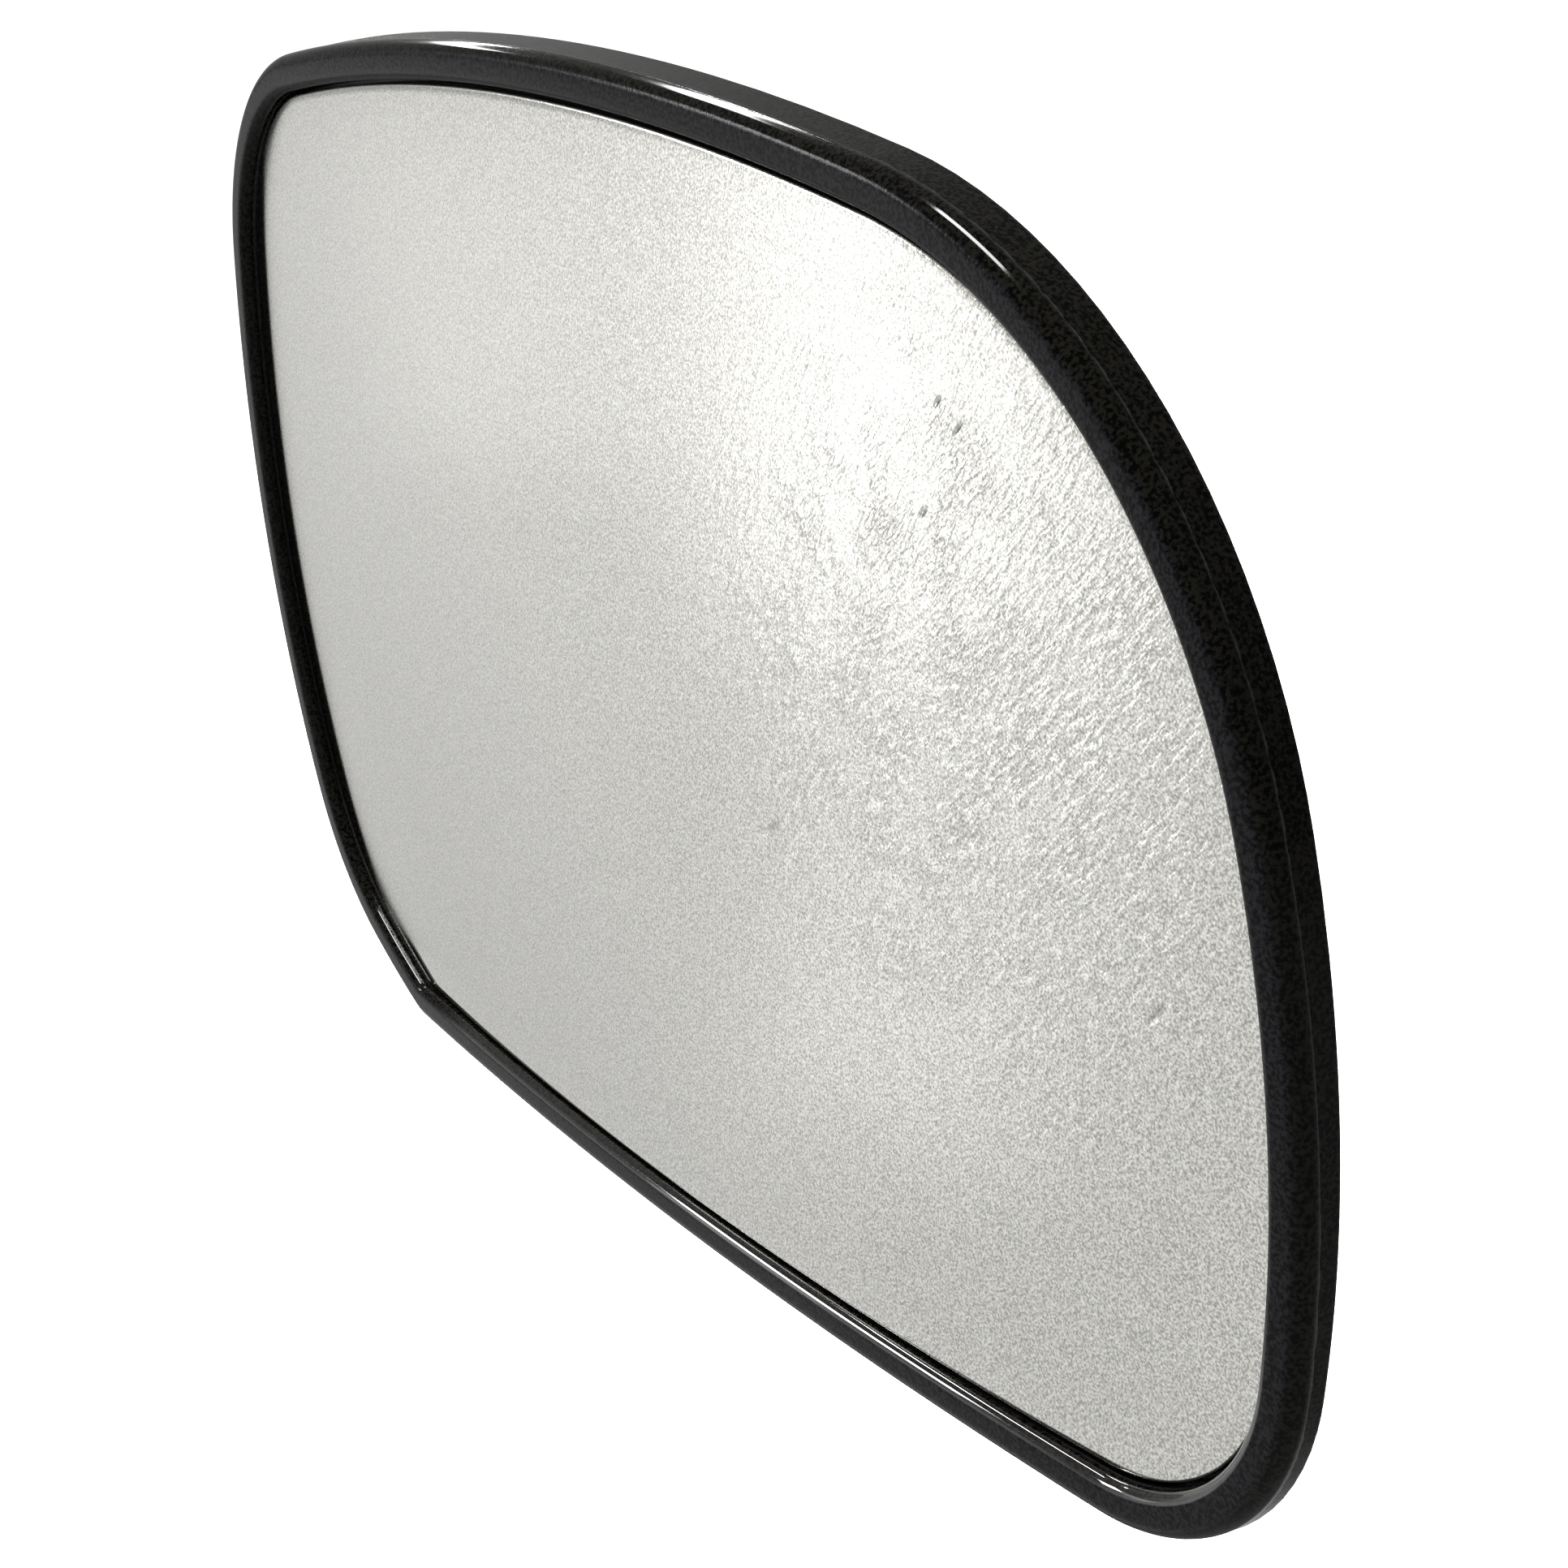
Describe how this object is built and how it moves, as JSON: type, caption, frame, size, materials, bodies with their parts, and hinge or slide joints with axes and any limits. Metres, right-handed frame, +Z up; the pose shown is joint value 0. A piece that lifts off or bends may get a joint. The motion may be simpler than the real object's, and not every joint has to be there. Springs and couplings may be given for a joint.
{
  "type": "car door mirror glass",
  "caption": "Convex car door mirror glass bonded into a black moulded backing plate with a raised rim, ribs and a slit snap collar on the back.",
  "frame": {"origin": "on the axis of the clip collar, halfway between its mouth and the floor of the plate at the centre", "axes": "+Y along the collar's axis, out of its mouth and away from the glass; the mirror face looks along -Y; +Z up on the car; +X to the right when facing the glass"},
  "size_m": [0.2094, 0.0136, 0.1281],
  "materials": {
    "mirror": "silvered convex glass with a fine satin grain",
    "adhesive": "matt adhesive foam sheet",
    "black_plastic": "black moulding with a fine grain, smoother on its rounded edges"
  },
  "bodies": {
    "root": {"mirror_glass": "mirror", "adhesive_pad": "adhesive", "backing_plate": "black_plastic"}
  },
  "joints": []
}
